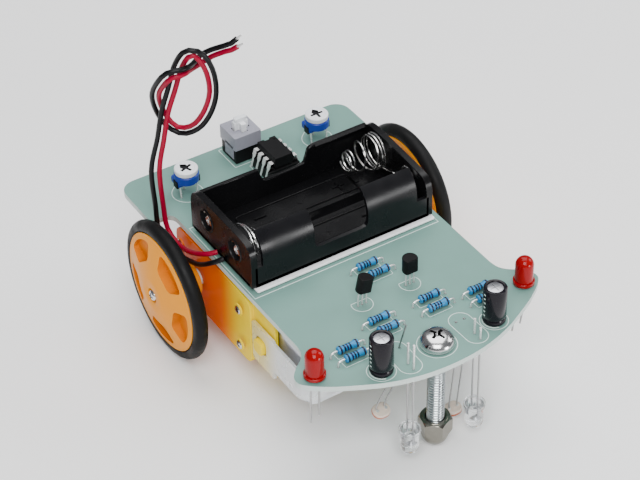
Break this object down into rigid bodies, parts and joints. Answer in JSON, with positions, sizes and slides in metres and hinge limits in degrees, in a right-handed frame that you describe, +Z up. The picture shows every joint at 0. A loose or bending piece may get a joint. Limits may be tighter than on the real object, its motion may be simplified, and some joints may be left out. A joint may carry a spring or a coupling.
{
  "type": "two wheel robot car",
  "caption": "Small robot car on a bare circuit board: geared side wheels, sliding nose nut, open battery tray, push switch and turning trimmers.",
  "frame": {"origin": "on the ground below the middle of the car's length and width", "axes": "+Z up, -Y towards the curved nose, +X to the car's left-hand side when it drives towards -Y"},
  "size_m": [0.0894, 0.1106, 0.0937],
  "materials": {
    "board": "satin green lacquer over glass laminate",
    "tray_plastic": "glossy black",
    "foam_tape": "soft white foam",
    "contact_steel": "bright plated wire",
    "black_plastic": "satin black",
    "grey_plastic": "light grey satin",
    "white_plastic": "white satin",
    "gear_plastic": "white nylon",
    "trimmer_blue": "glossy blue",
    "capacitor_sleeve": "dark printed sleeve with an aluminium top",
    "red_lens": "clear red resin",
    "clear_lens": "clear resin",
    "sensor_face": "ceramic disc under clear lacquer",
    "resistor_body": "blue lacquer with colour bands",
    "screw_steel": "bright nickel",
    "nut_steel": "nickel plated",
    "motor_steel": "bright motor can",
    "pinion_brass": "machined",
    "wheel_plastic": "moulded orange",
    "tyre_rubber": "black rubber",
    "gearbox_plastic": "moulded yellow",
    "strap_plastic": "milky clear",
    "red_lead": "soft insulation",
    "black_lead": "soft insulation"
  },
  "bodies": {
    "chassis": {"circuit_board": "board", "battery_holder": "tray_plastic", "holder_tape": "foam_tape", "contact_link": "contact_steel", "contact_spring": "contact_steel", "contact_button": "contact_steel", "switch_base": "black_plastic", "switch_cover": "grey_plastic", "ic_socket": "black_plastic", "ic_chip": "black_plastic", "skid_screw": "screw_steel", "lock_nut": "nut_steel", "cap_nut": "nut_steel", "trimmer_left_body": "trimmer_blue", "trimmer_right_body": "trimmer_blue", "capacitor_left": "capacitor_sleeve", "capacitor_right": "capacitor_sleeve", "red_led_left": "red_lens", "red_led_right": "red_lens", "transistor_left": "black_plastic", "transistor_right": "black_plastic", "clear_led_left": "clear_lens", "clear_led_right": "clear_lens", "light_sensor_left": "sensor_face", "light_sensor_right": "sensor_face", "battery_lead_black": "black_lead", "battery_lead_red": "red_lead", "resistor_1": "resistor_body", "resistor_2": "resistor_body", "resistor_3": "resistor_body", "resistor_4": "resistor_body", "resistor_5": "resistor_body", "resistor_6": "resistor_body", "resistor_7": "resistor_body", "resistor_8": "resistor_body", "resistor_9": "resistor_body", "resistor_10": "resistor_body", "gearbox_left_outer": "gearbox_plastic", "gearbox_left_inner": "gearbox_plastic", "motor_left": "motor_steel", "motor_strap_left": "strap_plastic", "gearbox_right_outer": "gearbox_plastic", "gearbox_right_inner": "gearbox_plastic", "motor_right": "motor_steel", "motor_strap_right": "strap_plastic"},
    "wheel_left": {"wheel_left": "wheel_plastic", "tyre_left": "tyre_rubber", "wheel_screw_left": "screw_steel", "output_gear_left": "gear_plastic"},
    "cluster_left": {"cluster_gear_left": "gear_plastic"},
    "pinion_left": {"motor_pinion_left": "pinion_brass"},
    "trimmer_left": {"trimmer_left_rotor": "white_plastic"},
    "wheel_right": {"wheel_right": "wheel_plastic", "tyre_right": "tyre_rubber", "wheel_screw_right": "screw_steel", "output_gear_right": "gear_plastic"},
    "cluster_right": {"cluster_gear_right": "gear_plastic"},
    "pinion_right": {"motor_pinion_right": "pinion_brass"},
    "trimmer_right": {"trimmer_right_rotor": "white_plastic"},
    "switch_button": {"switch_button": "white_plastic"}
  },
  "joints": [
    {"name": "wheel_left_spin", "type": "hinge", "parent": "chassis", "child": "wheel_left", "pos_m": [-0.0395, 0.02405, 0.0203], "axis": [1, 0, 0], "continuous": true},
    {"name": "cluster_left_spin", "type": "hinge", "parent": "chassis", "child": "cluster_left", "pos_m": [-0.018, 0.01255, 0.0203], "axis": [1, 0, 0], "continuous": true},
    {"name": "pinion_left_spin", "type": "hinge", "parent": "chassis", "child": "pinion_left", "pos_m": [-0.0205, 0.00405, 0.0203], "axis": [0, 1, 0], "continuous": true},
    {"name": "trimmer_left_turn", "type": "hinge", "parent": "chassis", "child": "trimmer_left", "pos_m": [-0.022, 0.04205, 0.0419], "axis": [0, 0, 1], "range_deg": [-120, 120]},
    {"name": "wheel_right_spin", "type": "hinge", "parent": "chassis", "child": "wheel_right", "pos_m": [0.0395, 0.02405, 0.0203], "axis": [1, 0, 0], "continuous": true},
    {"name": "cluster_right_spin", "type": "hinge", "parent": "chassis", "child": "cluster_right", "pos_m": [0.018, 0.01255, 0.0203], "axis": [1, 0, 0], "continuous": true},
    {"name": "pinion_right_spin", "type": "hinge", "parent": "chassis", "child": "pinion_right", "pos_m": [0.0205, 0.00405, 0.0203], "axis": [0, 1, 0], "continuous": true},
    {"name": "trimmer_right_turn", "type": "hinge", "parent": "chassis", "child": "trimmer_right", "pos_m": [0.0213, 0.04345, 0.0419], "axis": [0, 0, 1], "range_deg": [-120, 120]},
    {"name": "switch_press", "type": "slide", "parent": "chassis", "child": "switch_button", "axis": [0, 0, -1], "range_m": [0, 0.002], "stiffness_N_per_m": 400}
  ],
  "couplings": [
    {"joint": "cluster_left_spin", "follows": "wheel_left_spin", "ratio": -3},
    {"joint": "pinion_left_spin", "follows": "wheel_left_spin", "ratio": -15},
    {"joint": "cluster_right_spin", "follows": "wheel_right_spin", "ratio": -3},
    {"joint": "pinion_right_spin", "follows": "wheel_right_spin", "ratio": 15}
  ]
}
